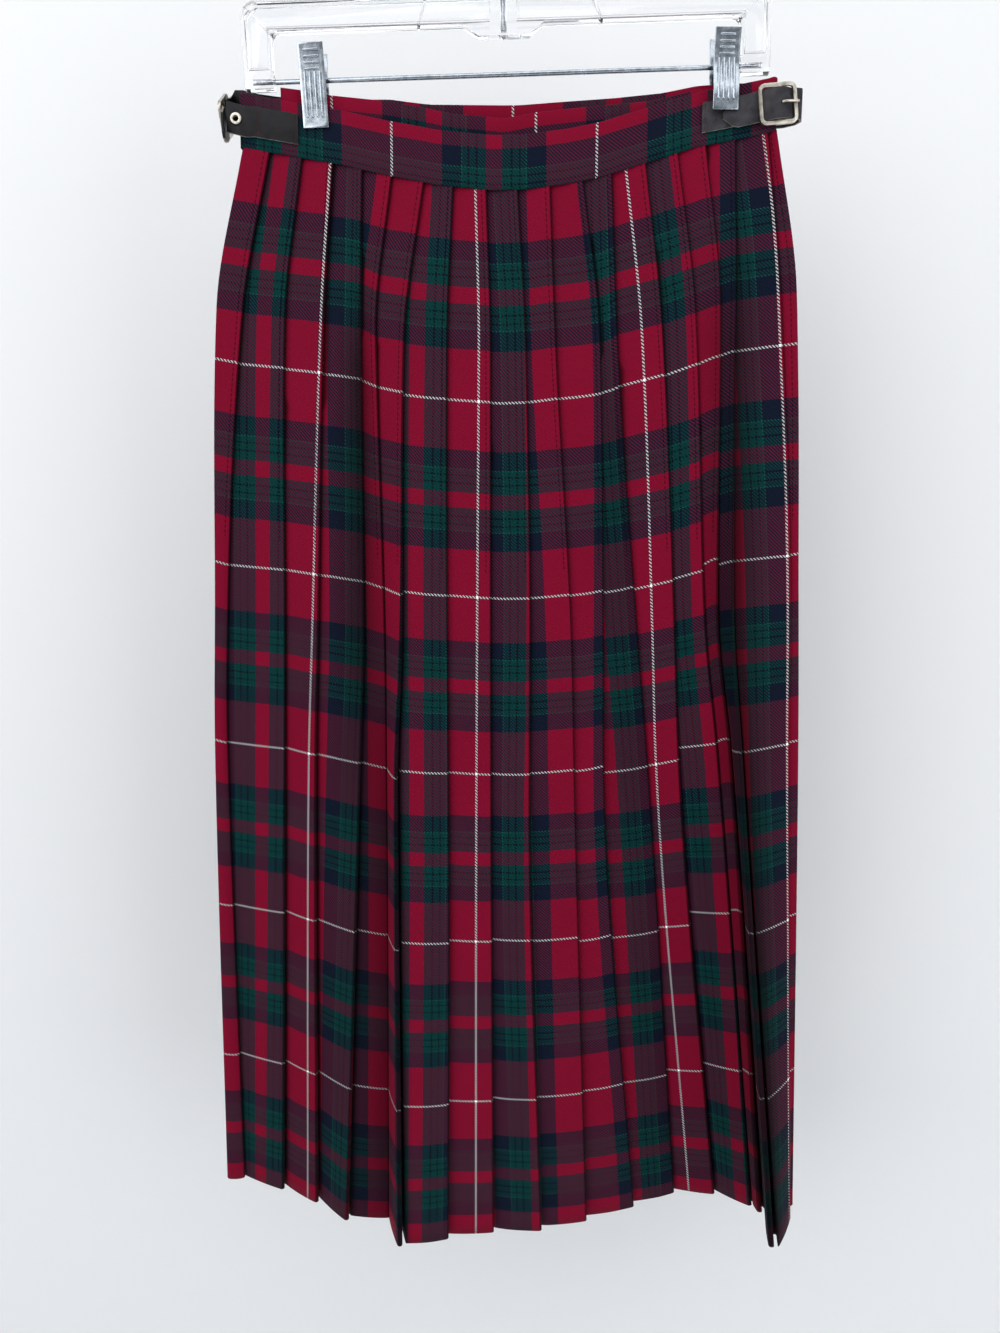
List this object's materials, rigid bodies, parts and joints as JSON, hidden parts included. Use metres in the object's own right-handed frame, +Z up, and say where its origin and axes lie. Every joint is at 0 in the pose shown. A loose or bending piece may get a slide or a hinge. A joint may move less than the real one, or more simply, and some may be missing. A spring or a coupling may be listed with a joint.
{
  "type": "kilt skirt on a clip hanger",
  "caption": "Knife-pleated tartan wool kilt skirt with leather hip straps, hung by its waistband from a clear clip hanger.",
  "frame": {"origin": "highest point inside the hanger's hook, where a rail carries it", "axes": "+Z up, -Y out of the pleated back, towards a viewer who faces the pleats, +X to that viewer's right along the hanger"},
  "size_m": [0.466, 0.1207, 0.9903],
  "materials": {
    "wool": "red, green and navy tartan twill with white lines",
    "leather": "smooth black",
    "nickel": "polished nickel plate",
    "clear": "clear",
    "steel": "bright zinc plate"
  },
  "bodies": {
    "root": {"waistband_back": "wool", "waistband_under_apron": "wool", "waistband_outer_apron": "wool", "pleated_back": "wool", "under_apron": "wool", "outer_apron": "wool", "hanger_frame": "clear", "hanger_rod": "steel", "hanger_hook": "steel", "clip_left_front": "steel", "clip_left_rear": "steel", "clip_left_spring": "steel", "clip_right_front": "steel", "clip_right_rear": "steel", "clip_right_spring": "steel", "right_tab": "leather", "right_strap": "leather", "right_buckle_frame": "nickel", "right_buckle_tongue": "nickel", "left_tab": "leather", "left_strap": "leather", "left_buckle_frame": "nickel", "left_buckle_tongue": "nickel", "left_eyelet": "nickel"}
  },
  "joints": []
}
